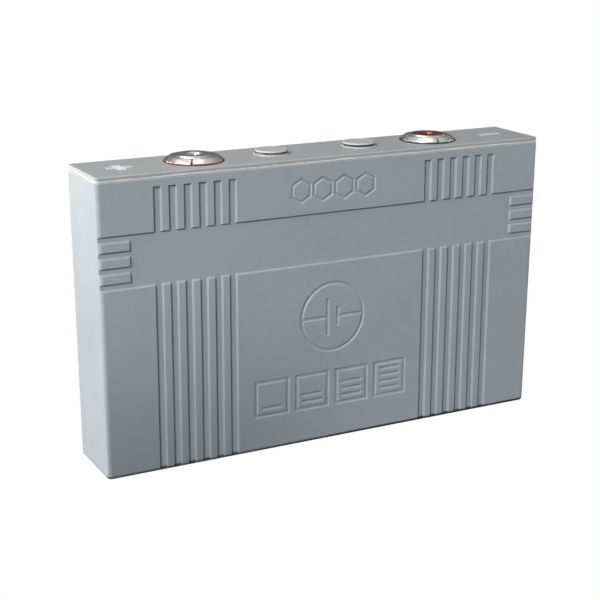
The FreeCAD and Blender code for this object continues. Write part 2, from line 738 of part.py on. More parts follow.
def save_side(prefix, x, slot_angle):
    """Writes every node of one terminal."""
    save(prefix + "_terminal", make_terminal(x))
    save(prefix + "_terminal_nut", make_nut(x, slot_angle))
    save(prefix + "_gasket", make_gasket(x))
    save(prefix + "_inner_seal", make_inner_seal(x))
    save(prefix + "_clamp_plates", make_clamp_plates(x))
    save(prefix + "_tab_rivets", make_rivets(x))
    for index in range(STACK_COUNT):
        save(f"{prefix}_tabs_{index + 1}", make_foil_tab(index, x))


def main():
    os.makedirs("parts", exist_ok=True)
    case_body = make_case_body()
    lid = make_lid()
    save("case_body", case_body)
    save("lid", lid)
    save("lid_weld", make_lid_weld(case_body, lid))
    save_side("positive", -TERMINAL_X, POSITIVE_SLOT_ANGLE)
    save_side("negative", TERMINAL_X, NEGATIVE_SLOT_ANGLE)
    for index in range(STACK_COUNT):
        save(f"electrode_stack_{index + 1}", make_stack(index))
        save(f"stack_wrap_{index + 1}", make_wrap(index))
    save("bottom_pad", make_bottom_pad())
    save("end_spacers", make_end_spacers())
    save("top_insulator", make_top_insulator())
    save("vent_body", make_vent_body())
    save("vent_cap", make_vent_cap())
    save("vent_disc", make_vent_disc())
    save("vent_disc_seal", make_vent_disc_seal())
    save("vent_spring", make_vent_spring())
    save("fill_plug", make_fill_plug())
    save("fill_plug_ring", make_fill_plug_ring())


main()
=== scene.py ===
"""Looks of the large prismatic cell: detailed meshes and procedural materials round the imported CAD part.

Metres. X runs along the cell, Y through its thickness (front at -Y), Z up from the underside.
"""

import math
import random

import bmesh
import bpy
from mathutils import Matrix, Vector


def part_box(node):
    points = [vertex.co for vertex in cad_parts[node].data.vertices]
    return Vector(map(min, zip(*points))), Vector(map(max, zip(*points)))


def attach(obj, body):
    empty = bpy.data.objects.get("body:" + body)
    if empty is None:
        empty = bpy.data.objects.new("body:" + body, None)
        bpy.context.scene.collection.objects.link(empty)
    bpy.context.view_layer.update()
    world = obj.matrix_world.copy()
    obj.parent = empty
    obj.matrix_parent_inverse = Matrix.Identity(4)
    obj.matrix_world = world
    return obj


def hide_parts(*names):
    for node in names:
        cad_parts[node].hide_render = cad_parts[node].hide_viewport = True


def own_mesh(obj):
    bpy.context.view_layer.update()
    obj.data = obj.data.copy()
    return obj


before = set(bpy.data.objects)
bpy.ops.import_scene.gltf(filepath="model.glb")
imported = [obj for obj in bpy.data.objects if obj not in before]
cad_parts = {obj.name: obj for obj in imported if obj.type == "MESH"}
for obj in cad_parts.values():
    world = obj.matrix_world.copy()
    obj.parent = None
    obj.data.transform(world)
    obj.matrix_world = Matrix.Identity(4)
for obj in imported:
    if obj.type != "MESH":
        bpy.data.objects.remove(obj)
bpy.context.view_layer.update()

MM = 0.001
RNG = random.Random(20)

# Places on the part
SIDES = (("positive", -1), ("negative", 1))
POST_X = 121 * MM
CAP_X = 45.5 * MM
LID_TOP = 270 * MM
STACKS = range(1, 5)

# Box round the two polarity signs on the lid, from the middle outwards
SIGN_INNER = 177 * MM
SIGN_OUTER = 206 * MM
SIGN_HALF_WIDTH = 14 * MM

# Cuts that keep the flat faces free of holes, in millimetres
CASE_CUTS = (0, 11, -11, 33, -33, 20.85, -20.85, 62.55, -62.55)
LID_CUTS = (0, 45.5, -45.5, 121, -121, 191.5, -191.5)
LUG_CUTS = (-14, 0, 14)

# Rounding of the edges
SHARP_ANGLE = 28.0
CASE_ROUND = 0.26 * MM
LID_ROUND = 0.32 * MM

# Steps of the turned meshes
CORNER_STEPS = 4
CIRCLE_STEPS = 72
LATHE_STEPS = 144
NUT_STEPS = 160
THREAD_STEPS = 8

# Profiles, each corner (radius, height, rounding) in millimetres
NUT_PROFILE = [
    (15.05, 270.95, 0.0), (25.5, 270.95, 0.15), (25.6, 271.5, 0.2), (21.7, 275.0, 0.45),
    (17.1, 275.0, 0.25), (16.5, 276.18, 0.22), (15.55, 276.18, 0.2), (15.05, 275.7, 0.1),
]
POST_PROFILE = [
    (22.0, 257.5, 0.0), (22.0, 264.4, 0.3), (15.0, 264.4, 0.0), (15.0, 275.8, 0.0),
    (14.5, 276.3, 0.12), (8.2, 276.3, 0.12), (7.05, 275.15, 0.0),
]
GASKET_PROFILE = [
    (15.3, 270.0, 0.0), (26.8, 270.0, 0.15), (26.9, 270.5, 0.25), (26.4, 270.9, 0.2),
    (15.3, 270.9, 0.0),
]
CAP_HEAD_PROFILE = [
    (12.4, 272.8, 0.0), (14.6, 272.8, 0.15), (14.8, 273.4, 0.3), (14.45, 274.35, 0.4),
    (13.2, 274.4, 0.15), (12.9, 274.22, 0.15), (2.4, 274.22, 0.1), (2.1, 274.32, 0.1),
    (1.3, 274.32, 0.08), (1.1, 274.1, 0.05), (0.001, 274.1, 0.0),
]

# Threads
PITCH = 2 * MM
POST_THREAD_ROOT = 7.05 * MM
POST_THREAD_CREST = 6.0 * MM
POST_THREAD_TOP = 275.15 * MM
LUG_TOP = 257.5 * MM
PLUG_THREAD_ROOT = 7.0 * MM
PLUG_THREAD_CREST = 8.0 * MM
PLUG_THREAD_SPAN = (261.6 * MM, 270.6 * MM)
PLUG_FOOT = [(0.01, 261.0), (6.4, 261.0), (7.0, 261.6)]
PLUG_NECK = [(7.4, 270.8), (7.4, 271.2), (12.4, 271.2)]

# Spanner slots of the ring nuts; the angles are those of each nut's first slot, in degrees
SLOT_ANGLE = {"positive": 62.7, "negative": 81.0}
SLOT_COUNT = 4
SLOT_FLOOR = 20.5 * MM
SLOT_HALF_WIDTH = 1.0 * MM

# Weld bead
SEAM_INSET = 0.95 * MM
CASE_CORNER = 4.2 * MM
SEAM_HEIGHT = 266 * MM
BEAD_POINTS = 1800
BEAD_RING = 12
BEAD_WAVES = (7, 19, 43, 97, 211, 389)

CAMERA_PLACE = (-0.5967, -1.1083, 0.4956)
CAMERA_RIGHT = (0.88603, -0.46362, 0.00319)
CAMERA_UP = (0.12776, 0.25076, 0.95958)
CAMERA_BACK = (-0.44568, -0.84981, 0.28141)
CAMERA_LENS = 83.37
CAMERA_SENSOR = 36.0

# Colours, linear
CASE_COLOUR = (0.327, 0.366, 0.406)
LID_COLOUR = (0.340, 0.362, 0.378)
CAP_COLOUR = (0.470, 0.475, 0.470)
# Pale floor of the sunk signs: partly lighter plastic, partly a painted reflection of the glare they catch
SIGN_FLOOR_AND_GLARE_COLOUR = (0.74, 0.75, 0.76)
# Weld bead: pale plastic made lighter still, partly to paint the highlight along the seam
BEAD_COLOUR_WITH_HIGHLIGHT = (0.540, 0.560, 0.575)
NICKEL = (0.84, 0.84, 0.81)
# Near-black of the painted contact shadow along the foot
FOOT_SHADOW_COLOUR = (0.012, 0.014, 0.018)

# Light
WORLD_STRENGTH = 0.10
MIRRORED_STRENGTH = 0.62
WARM = (1.0, 0.945, 0.885)
PLAIN = (1.0, 1.0, 1.0)
# Name, place, target, size, power, colour
LIGHTS = [
    ("key_left", (-1.50, -0.02, 0.22), (-0.2, 0.0, 0.08), (1.2, 0.4), 5.0, WARM),
    ("left_high", (-0.95, -0.05, 1.00), (-0.1, 0.0, 0.27), (1.0, 1.0), 9.0, WARM),
    ("overhead", (0.0, 0.0, 1.50), (0.0, 0.0, 0.27), (0.66, 0.66), 1.4, PLAIN),
    ("front_left", (-3.90, -3.00, 3.00), (0.0, 0.0, 0.14), (1.2, 1.2), 295.0, PLAIN),
    ("front_right", (1.20, -1.80, 0.70), (0.1, 0.0, 0.14), (2.0, 2.0), 6.5, PLAIN),
    ("right_fill", (2.20, -0.25, 0.34), (0.2, 0.0, 0.14), (2.0, 0.6), 19.0, PLAIN),
    ("back_fill", (-1.90, 1.80, 0.28), (0.0, 0.0, 0.10), (1.8, 0.5), 47.0, WARM),
]


class Nodes:
    """Builder for one material's node tree."""

    def __init__(self, name, roughness=0.5, metallic=0.0):
        self.material = bpy.data.materials.new(name)
        self.material.use_nodes = True
        self.tree = self.material.node_tree
        self.shader = self.tree.nodes["Principled BSDF"]
        self.shader.inputs["Roughness"].default_value = roughness
        self.shader.inputs["Metallic"].default_value = metallic
        self.place = self.tree.nodes.new("ShaderNodeTexCoord").outputs["Object"]

    def put(self, value, socket):
        """Links an output to a socket, or sets the socket's constant."""
        if isinstance(value, bpy.types.NodeSocket):
            self.tree.links.new(value, socket)
        elif hasattr(value, "__len__") and len(value) == 3 and socket.type == "RGBA":
            socket.default_value = (*value, 1.0)
        else:
            socket.default_value = value

    def out(self, value, name):
        """Sends a value to the surface shader."""
        self.put(value, self.shader.inputs[name])

    def math(self, operation, first, second=0.0):
        node = self.tree.nodes.new("ShaderNodeMath")
        node.operation = operation
        self.put(first, node.inputs[0])
        self.put(second, node.inputs[1])
        return node.outputs[0]

    def times(self, *factors):
        """Product of two or more values."""
        product = factors[0]
        for factor in factors[1:]:
            product = self.math("MULTIPLY", product, factor)
        return product

    def mapped(self, scale=(1, 1, 1), turn=(0, 0, 0), shift=(0, 0, 0)):
        """Position after a scale, turn and shift."""
        node = self.tree.nodes.new("ShaderNodeMapping")
        node.vector_type = "POINT"
        self.put(self.place, node.inputs["Vector"])
        node.inputs["Location"].default_value = shift
        node.inputs["Rotation"].default_value = turn
        node.inputs["Scale"].default_value = scale
        return node.outputs[0]

    def noise(self, scale, detail=2.0, roughness=0.5, vector=None, distortion=0.0):
        node = self.tree.nodes.new("ShaderNodeTexNoise")
        self.put(self.place if vector is None else vector, node.inputs["Vector"])
        node.inputs["Scale"].default_value = scale
        node.inputs["Detail"].default_value = detail
        node.inputs["Roughness"].default_value = roughness
        node.inputs["Distortion"].default_value = distortion
        return node.outputs[0]

    def cells(self, scale):
        """Distance from the middle of the nearest cell."""
        node = self.tree.nodes.new("ShaderNodeTexVoronoi")
        self.put(self.place, node.inputs["Vector"])
        node.inputs["Scale"].default_value = scale
        return node.outputs["Distance"]

    def span(self, value, low, high, to_low=0.0, to_high=1.0):
        """Maps low..high to a new range, smoothly and clamped."""
        node = self.tree.nodes.new("ShaderNodeMapRange")
        node.interpolation_type = "SMOOTHSTEP"
        self.put(value, node.inputs["Value"])
        limits = {"From Min": low, "From Max": high, "To Min": to_low, "To Max": to_high}
        for name, number in limits.items():
            node.inputs[name].default_value = number
        return node.outputs[0]

    def mix(self, share, first, second):
        """Mixes two colours."""
        node = self.tree.nodes.new("ShaderNodeMix")
        node.data_type = "RGBA"
        self.put(share, node.inputs["Factor"])
        self.put(first, node.inputs[6])
        self.put(second, node.inputs[7])
        return node.outputs[2]

    def axes(self):
        """The three coordinates of the position."""
        node = self.tree.nodes.new("ShaderNodeSeparateXYZ")
        self.put(self.place, node.inputs[0])
        return node.outputs

    def radius(self, x):
        """Distance from the upright line at x."""
        across = self.axes()
        along = self.math("SUBTRACT", across[0], x)
        squares = self.math("ADD", self.times(along, along), self.times(across[1], across[1]))
        return self.math("SQRT", squares)

    def crevice(self, distance):
        """1 deep in a corner or gap, 0 on an open face."""
        node = self.tree.nodes.new("ShaderNodeAmbientOcclusion")
        node.samples = 8
        node.inputs["Distance"].default_value = distance
        return self.math("SUBTRACT", 1.0, node.outputs["AO"])

    def bump(self, layers):
        """Stacks bump layers, each (height, distance in metres, strength)."""
        normal = None
        for height, distance, strength in layers:
            node = self.tree.nodes.new("ShaderNodeBump")
            node.inputs["Distance"].default_value = distance
            node.inputs["Strength"].default_value = strength
            self.put(height, node.inputs["Height"])
            if normal is not None:
                self.put(normal, node.inputs["Normal"])
            normal = node.outputs[0]
        self.out(normal, "Normal")

    def constants(self, **values):
        """Plain numbers on the shader's own inputs."""
        for name, value in values.items():
            self.shader.inputs[name.replace("_", " ")].default_value = value


def scratch_mask(nodes, turn, shift):
    """Sparse fine scratches in one direction, 0 to 1."""
    stretched = nodes.mapped(scale=(9, 9, 1400), turn=turn, shift=shift)
    lines = nodes.noise(1.0, 3.0, 0.65, stretched)
    patches = nodes.noise(21.0, 2.0, 0.5, nodes.mapped(shift=shift))
    fine = nodes.span(lines, 0.70, 0.78)
    return nodes.times(fine, nodes.span(patches, 0.50, 0.66))


def tinted(colour, factor):
    """A colour made darker or lighter."""
    return tuple(factor * c for c in colour)


def sign_floor(nodes):
    """1 on the sunk floors of the two polarity signs, 0 elsewhere."""
    along, across, height = nodes.axes()
    along = nodes.math("ABSOLUTE", along)
    across = nodes.math("ABSOLUTE", across)
    edge = 0.5 * MM
    sunk = nodes.span(height, LID_TOP - 0.15 * MM, LID_TOP - 0.05 * MM, 1.0, 0.0)
    inner = nodes.span(along, SIGN_INNER, SIGN_INNER + edge)
    outer = nodes.span(along, SIGN_OUTER - edge, SIGN_OUTER, 1.0, 0.0)
    middle = nodes.span(across, SIGN_HALF_WIDTH - edge, SIGN_HALF_WIDTH, 1.0, 0.0)
    return nodes.times(sunk, inner, outer, middle)


def foot_shadow_line(nodes):
    """Painted contact shadow: a thin uneven dark line along the foot, strong on the front and the back."""
    _, across, height = nodes.axes()
    low = nodes.span(height, 2.5 * MM, 4.2 * MM, 1.0, 0.0)
    broad = nodes.span(nodes.math("ABSOLUTE", across), 29.5 * MM, 31.5 * MM)
    blotch = nodes.span(nodes.noise(55.0, 4.0, 0.65), 0.3, 0.8)
    uneven = nodes.math("ADD", 0.9, nodes.times(blotch, 0.1))
    return nodes.times(low, uneven, nodes.math("ADD", 0.25, nodes.times(broad, 0.72)))


def front_low_left_shade(nodes):
    """Painted shade: a wide soft darkening over the lower left of the front face."""
    along, across, height = nodes.axes()
    end = nodes.span(along, -160 * MM, 100 * MM, 1.0, 0.0)
    foot = nodes.span(height, -20 * MM, 170 * MM, 1.0, 0.0)
    front = nodes.span(across, -35.0 * MM, -32.5 * MM, 1.0, 0.0)
    return nodes.times(end, foot, front)


def plastic(name, colour, roughness=0.46, painted_low_shade=0.0, wear_and_highlight=0.0, recess_shade=0.5, signs=False):
    """Moulded plastic with grain, flow mottling, scuffs and painted shade in its recesses.

    Options paint a contact shadow at the foot and shade over the lower left of the front, lighten the surface
    partly as rubbing and partly as painted highlight, and give the sunk signs a pale floor that partly paints
    their glare.
    """
    nodes = Nodes(name, roughness)
    cloud = nodes.span(nodes.noise(14.0, 4.0, 0.55), 0.3, 0.7)
    mottle = nodes.span(nodes.noise(160.0, 3.0, 0.6), 0.35, 0.7, 0.0, 0.5)
    speck = nodes.span(nodes.noise(900.0, 2.0, 0.6), 0.62, 0.75, 0.0, 0.25)
    shade = nodes.mix(cloud, tinted(colour, 0.965), tinted(colour, 1.03))
    shade = nodes.mix(mottle, shade, tinted(colour, 1.06))
    shade = nodes.mix(speck, shade, tinted(colour, 0.72))
    marks = nodes.math(
        "MAXIMUM",
        scratch_mask(nodes, (0.0, 0.35, 0.2), (0.1, 0.3, 0.7)),
        scratch_mask(nodes, (0.0, 1.25, -0.3), (0.6, 0.2, 0.1)),
    )
    light = tuple(min(1.0, 1.6 * c + 0.05) for c in colour)
    shade = nodes.mix(nodes.times(marks, 0.26), shade, light)
    # Chalky lightening: partly rubbing, partly painted highlight on rounded edges and the weld bead.
    if wear_and_highlight:
        chalk_and_highlight = nodes.span(nodes.noise(75.0, 4.0, 0.7), 0.35, 0.7, 0.25 * wear_and_highlight, wear_and_highlight)
        shade = nodes.mix(chalk_and_highlight, shade, light)
    # Painted reflection: the sunk sign floors are made pale, partly their own lighter plastic, partly the
    # glare they catch.
    if signs:
        shade = nodes.mix(sign_floor(nodes), shade, SIGN_FLOOR_AND_GLARE_COLOUR)
    # Painted shade: ambient occlusion darkens corners and recesses towards near-black.
    gap = nodes.span(nodes.crevice(2 * MM), 0.15, 0.36)
    uneven = nodes.span(nodes.noise(120.0, 3.0, 0.6), 0.25, 0.7, 0.72, 1.0)
    shade = nodes.mix(nodes.times(gap, uneven, recess_shade), shade, tinted(colour, 0.08))
    # Painted shade: a contact shadow along the foot and a darker lower left of the front.
    if painted_low_shade:
        shade = nodes.mix(nodes.times(foot_shadow_line(nodes), painted_low_shade), shade, FOOT_SHADOW_COLOUR)
        shade = nodes.mix(nodes.times(front_low_left_shade(nodes), 0.62), shade, tinted(colour, 0.45))
    nodes.out(shade, "Base Color")
    gloss = nodes.span(nodes.noise(38.0, 5.0, 0.6), 0.25, 0.75, roughness - 0.06, roughness + 0.08)
    nodes.out(nodes.math("ADD", gloss, nodes.times(marks, 0.15)), "Roughness")
    wave = nodes.noise(17.0, 1.0, 0.4, nodes.mapped(scale=(1.0, 1.0, 0.7)))
    nodes.bump([
        (wave, 0.0011, 0.25),
        (nodes.noise(520.0, 3.0, 0.6), 0.00006, 0.45),
        (nodes.noise(2600.0, 2.0, 0.5), 0.00002, 0.5),
        (marks, -0.00003, 0.5),
    ])
    nodes.constants(Specular_IOR_Level=0.42)
    return nodes.material


def turned_metal(name, x, colour, roughness, pitch, tarnish=None, relief=1.0):
    """Lathe-cut metal: fine rings about the upright line at x, handling marks and optional tarnish."""
    nodes = Nodes(name, roughness, 1.0)
    radius = nodes.radius(x)
    run = nodes.math("ADD", radius, nodes.times(nodes.axes()[2], 0.8))
    wobble = nodes.times(nodes.noise(45.0, 1.0), pitch * 0.5)
    phase = nodes.times(nodes.math("ADD", run, wobble), 2 * math.pi / pitch)
    rings = nodes.math("SINE", phase)
    slow = nodes.math("SINE", nodes.times(run, 2 * math.pi / (pitch * 3.7)))
    smear = nodes.noise(110.0, 4.0, 0.6)
    shade = nodes.mix(nodes.span(smear, 0.38, 0.75, 0.0, 0.4), colour, tinted(colour, 0.74))
    shade = nodes.mix(nodes.span(rings, 0.2, 1.0, 0.0, 0.12), shade, tinted(colour, 0.55))
    if tarnish:
        stain = nodes.span(nodes.noise(95.0, 5.0, 0.7, distortion=0.6), 0.40, 0.66)
        shade = nodes.mix(nodes.times(stain, 0.75), shade, tarnish)
    pits = nodes.span(nodes.cells(1500.0), 0.05, 0.13, 1.0, 0.0)
    shade = nodes.mix(nodes.times(pits, 0.14), shade, tinted(colour, 0.4))
    nodes.out(shade, "Base Color")
    nodes.out(nodes.span(smear, 0.3, 0.8, roughness - 0.05, roughness + 0.12), "Roughness")
    nodes.bump([
        (rings, 0.000004, 0.6 * relief),
        (slow, 0.000008, 0.4 * relief),
        (nodes.noise(1900.0, 2.0), 0.000006, 0.35),
    ])
    return nodes.material


def rubber(name, colour, roughness=0.62):
    """Soft moulded rubber with bloom and dusty patches."""
    nodes = Nodes(name, roughness)
    bloom = nodes.span(nodes.noise(230.0, 4.0, 0.65), 0.4, 0.75)
    dusty = tuple(0.75 * c + 0.05 for c in colour)
    nodes.out(nodes.mix(nodes.times(bloom, 0.45), colour, dusty), "Base Color")
    nodes.out(nodes.span(nodes.noise(400.0, 3.0), 0.3, 0.7, roughness - 0.1, roughness + 0.1), "Roughness")
    nodes.bump([(nodes.noise(1500.0, 3.0, 0.6), 0.00004, 0.6), (nodes.noise(90.0, 2.0), 0.0002, 0.3)])
    return nodes.material


def foil(name, colour, roughness=0.34):
    """Bundle of thin foils: fine lines along the bundle, creases and dull patches."""
    nodes = Nodes(name, roughness, 1.0)
    layers = nodes.noise(1.0, 2.0, 0.6, nodes.mapped(scale=(40, 7000, 60)))
    crease = nodes.noise(60.0, 4.0, 0.6, nodes.mapped(scale=(1, 0.4, 0.4)))
    shade = nodes.mix(nodes.span(layers, 0.4, 0.6, 0.0, 0.5), colour, tinted(colour, 0.55))
    nodes.out(shade, "Base Color")
    nodes.out(nodes.span(crease, 0.3, 0.7, roughness - 0.08, roughness + 0.14), "Roughness")
    nodes.bump([(crease, 0.0005, 0.4), (layers, 0.00008, 0.5)])
    return nodes.material


def electrode_block():
    """Edges of stacked coated sheets: thin dark and pale lines, with the stack's slight unevenness."""
    nodes = Nodes("electrode_block", 0.7)
    waver = nodes.times(nodes.noise(9.0, 2.0), 0.0005)
    depth = nodes.math("ADD", nodes.axes()[1], waver)
    phase = nodes.times(depth, 2 * math.pi / 0.00048)
    lines = nodes.span(nodes.math("SINE", phase), -0.2, 0.7)
    tone = nodes.mix(nodes.span(nodes.noise(70.0, 4.0), 0.3, 0.7), (0.022, 0.022, 0.024), (0.05, 0.05, 0.052))
    nodes.out(nodes.mix(lines, tone, (0.36, 0.36, 0.35)), "Base Color")
    nodes.bump([(lines, 0.0001, 0.5), (nodes.noise(300.0, 3.0), 0.0001, 0.4)])
    return nodes.material


def film(name, colour):
    """Shrunk insulating film: glossy, with shallow wrinkles."""
    nodes = Nodes(name, 0.24)
    wrinkle = nodes.noise(28.0, 4.0, 0.6, nodes.mapped(scale=(1, 1, 0.35)), distortion=0.8)
    nodes.out(nodes.mix(nodes.span(wrinkle, 0.3, 0.7), colour, tinted(colour, 1.25)), "Base Color")
    nodes.out(nodes.span(nodes.noise(60.0, 3.0), 0.3, 0.7, 0.18, 0.34), "Roughness")
    nodes.bump([(wrinkle, 0.0014, 0.5), (nodes.noise(800.0, 2.0), 0.00002, 0.4)])
    return nodes.material


def soft_pad(name, colour):
    """Closed-cell foam."""
    nodes = Nodes(name, 0.85)
    pores = nodes.cells(1100.0)
    nodes.out(nodes.mix(nodes.span(pores, 0.1, 0.5), tinted(colour, 0.5), colour), "Base Color")
    nodes.bump([(pores, 0.0003, 0.7), (nodes.noise(40.0, 2.0), 0.0004, 0.3)])
    return nodes.material


def new_object(name, mesh, material, body, slot, *nodes):
    """Links a finished mesh into the scene as a piece that stands for CAD nodes."""
    mesh.name = name
    mesh.materials.append(material)
    piece = bpy.data.objects.new(name, mesh)
    bpy.context.scene.collection.objects.link(piece)
    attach(piece, body)
    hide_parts(*nodes)
    return piece


def smooth(mesh):
    """Smooth shading on every face."""
    for polygon in mesh.polygons:
        polygon.use_smooth = True


def everything(work):
    """All the geometry of a bmesh."""
    return list(work.verts) + list(work.edges) + list(work.faces)


def from_cad(node, cuts=(), top=None):
    """Copy of a CAD mesh in clean faces, with its sharp edges marked for rounding.

    Upright cuts at given x keep every flat face free of holes; a top drops what is above that height.
    """
    work = bmesh.new()
    work.from_mesh(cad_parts[node].data)
    bmesh.ops.remove_doubles(work, verts=work.verts, dist=2e-6)
    if top is not None:
        bmesh.ops.bisect_plane(
            work, geom=everything(work), plane_co=(0, 0, top), plane_no=(0, 0, 1), clear_outer=True
        )
    for x in cuts:
        found = bmesh.ops.bisect_plane(
            work, geom=everything(work), dist=2e-6, plane_co=(x * MM, 0, 0), plane_no=(1, 0, 0)
        )
        for part in found["geom_cut"]:
            if isinstance(part, bmesh.types.BMEdge):
                part.seam = True
    bmesh.ops.dissolve_limit(
        work, angle_limit=math.radians(0.4), verts=work.verts, edges=work.edges, delimit={"SEAM"}
    )
    weights = work.edges.layers.float.new("bevel_weight_edge")
    for edge in work.edges:
        if edge.is_manifold and edge.calc_face_angle(0) > math.radians(SHARP_ANGLE):
            edge[weights] = 1.0
    mesh = bpy.data.meshes.new(node)
    work.to_mesh(mesh)
    work.free()
    smooth(mesh)
    return mesh


def round_edges(piece, width, worn_and_lit):
    """Rounds the marked edges and gives the rounding its own lighter material, partly rubbing and partly
    painted highlight.
    """
    bevel = piece.modifiers.new("round", "BEVEL")
    bevel.limit_method = "WEIGHT"
    bevel.width = width
    bevel.segments = 3
    bevel.use_clamp_overlap = False
    bevel.miter_outer = "MITER_ARC"
    bevel.harden_normals = False
    piece.data.materials.append(worn_and_lit)
    bevel.material = 1
    weighted = piece.modifiers.new("normals", "WEIGHTED_NORMAL")
    weighted.keep_sharp = True
    weighted.weight = 50


def softened(corners):
    """Rounds each (radius, height, rounding) corner, in millimetres, and gives points in metres."""
    points = []
    for index, (radius, height, rounding) in enumerate(corners):
        here = Vector((radius, height))
        if rounding == 0 or index in (0, len(corners) - 1):
            points.append(here * MM)
            continue
        before = Vector(corners[index - 1][:2])
        after = Vector(corners[index + 1][:2])
        start = here + (before - here).normalized() * rounding
        end = here + (after - here).normalized() * rounding
        for step in range(CORNER_STEPS + 1):
            share = step / CORNER_STEPS
            curve = start * (1 - share) ** 2 + here * 2 * share * (1 - share) + end * share ** 2
            points.append(curve * MM)
    return points


def grid_mesh(rows, closed_rows=False):
    """Mesh from rows of points; each row is closed round."""
    count = len(rows[0])
    vertices = [point for row in rows for point in row]
    faces = []
    for row in range(len(rows) if closed_rows else len(rows) - 1):
        below, above = row * count, ((row + 1) % len(rows)) * count
        for column in range(count):
            after = (column + 1) % count
            faces.append((below + column, below + after, above + after, above + column))
    mesh = bpy.data.meshes.new("grid")
    mesh.from_pydata(vertices, [], faces)
    mesh.validate()
    smooth(mesh)
    return mesh


def sharpen(mesh, angle):
    """Marks edges sharper than an angle, so that smooth shading stops at them."""
    work = bmesh.new()
    work.from_mesh(mesh)
    bmesh.ops.remove_doubles(work, verts=work.verts, dist=1e-7)
    bmesh.ops.recalc_face_normals(work, faces=work.faces)
    for edge in work.edges:
        edge.smooth = not (edge.is_manifold and edge.calc_face_angle(0) > math.radians(angle))
    work.to_mesh(mesh)
    work.free()
    smooth(mesh)


def circle_row(x, radius, z, segments=CIRCLE_STEPS):
    """One row of points round a circle."""
    turns = [2 * math.pi * step / segments for step in range(segments)]
    return [(x + radius * math.cos(a), radius * math.sin(a), z) for a in turns]


def lathe(x, profile, closed=True):
    """Surface of revolution about the upright line at x."""
    rows = [circle_row(x, radius, height, LATHE_STEPS) for radius, height in profile]
    mesh = grid_mesh(rows, closed_rows=closed)
    sharpen(mesh, 35)
    return mesh


def slotted_lathe(x, profile, floor, half_width, centres):
    """Ring like lathe(), with upright slots cut in from the outside down to the radius floor."""
    columns = []
    share = 2 * math.pi / NUT_STEPS
    for step in range(NUT_STEPS):
        angle = step * share
        gap = min(abs((angle - c + math.pi) % (2 * math.pi) - math.pi) for c in centres)
        if gap > 1.6 * half_width / floor:
            columns.append((angle % (2 * math.pi), 0.0, False))
    for centre in centres:
        base = centre % (2 * math.pi)
        for side, inside in ((-1, False), (-1, True), (0, True), (1, True), (1, False)):
            columns.append((base, side, inside))
    columns.sort(key=lambda c: (c[0], c[1], c[2] if c[1] < 0 else not c[2]))
    rows = []
    for radius, height in profile:
        row = []
        for angle, side, inside in columns:
            near = min(radius, floor) if inside else radius
            turn = angle + side * math.asin(half_width / max(near, floor)) if side else angle
            row.append((x + near * math.cos(turn), near * math.sin(turn), height))
        rows.append(row)
    mesh = grid_mesh(rows, closed_rows=True)
    sharpen(mesh, 35)
    return mesh


def thread_rows(x, root, crest, low, high):
    """Rows of points up a threaded wall, from low to high."""
    rows = []
    count = max(2, round((high - low) / PITCH * THREAD_STEPS))
    for index in range(count + 1):
        z = low + (high - low) * index / count
        fade = min(1.0, index / THREAD_STEPS, (count - index) / THREAD_STEPS)
        row = []
        for step in range(CIRCLE_STEPS):
            turn = step / CIRCLE_STEPS
            phase = ((z - low) / PITCH - turn) % 1.0
            rise = min(1.0, max(0.0, 2.0 * min(phase, 1.0 - phase) * 1.3 - 0.12))
            radius = root + (crest - root) * rise * fade
            angle = 2 * math.pi * turn
            row.append((x + radius * math.cos(angle), radius * math.sin(angle), z))
        rows.append(row)
    return rows


def joined(meshes):
    """One mesh from several."""
    work = bmesh.new()
    for mesh in meshes:
        work.from_mesh(mesh)
        bpy.data.meshes.remove(mesh)
    result = bpy.data.meshes.new("joined")
    work.to_mesh(result)
    work.free()
    smooth(result)
    return result


# Materials
case_plastic = plastic("case_plastic", CASE_COLOUR, 0.46, painted_low_shade=1.0, recess_shade=0.95)
# Edge and bead finishes are lightened partly as rubbing, partly to paint the highlights along rounded edges
# and the seam.
case_edge = plastic("case_edge", CASE_COLOUR, 0.42, painted_low_shade=1.0, wear_and_highlight=0.30, recess_shade=0.8)
lid_plastic = plastic("lid_plastic", LID_COLOUR, 0.48, recess_shade=0.5, signs=True)
lid_edge = plastic("lid_edge", LID_COLOUR, 0.38, wear_and_highlight=0.75, recess_shade=0.4)
bead_plastic = plastic("weld_plastic", BEAD_COLOUR_WITH_HIGHLIGHT, 0.38, wear_and_highlight=0.5, recess_shade=0.35)
cap_plastic = plastic("cap_plastic", CAP_COLOUR, 0.34, recess_shade=0.6)
valve_plastic = plastic("valve_plastic", (0.66, 0.66, 0.60), 0.42)
insulator_plastic = plastic("insulator_plastic", (0.05, 0.14, 0.34), 0.5)
red_rubber = rubber("gasket_red", (0.17, 0.008, 0.016), 0.5)
black_rubber = rubber("gasket_black", (0.020, 0.020, 0.022), 0.5)
seal_rubber = rubber("seal_rubber", (0.014, 0.014, 0.015))
pad_foam = soft_pad("foam_pad", (0.05, 0.05, 0.055))
wrap_film = film("wrap_film", (0.03, 0.19, 0.13))
stack_block = electrode_block()
foil_silver = foil("foil_aluminium", (0.80, 0.80, 0.81))
foil_copper = foil("foil_copper", (0.83, 0.42, 0.27))
spring_steel = turned_metal("spring_steel", -CAP_X, (0.62, 0.61, 0.60), 0.28, 0.0005)
post_metal = {
    "positive": turned_metal("post_aluminium", -POST_X, (0.62, 0.62, 0.61), 0.30, 0.00035),
    "negative": turned_metal(
        "post_copper", POST_X, (0.48, 0.150, 0.085), 0.26, 0.00035, (0.13, 0.035, 0.022)
    ),
}
nut_metal = {
    side: turned_metal(f"nut_nickel_{side}", direction * POST_X, NICKEL, 0.24, 0.0005, relief=0.4)
    for side, direction in SIDES
}
gasket_rubber = {"positive": red_rubber, "negative": black_rubber}
post_slot = {"positive": "post_aluminium", "negative": "post_copper"}
gasket_slot = {"positive": "gasket_red", "negative": "gasket_black"}


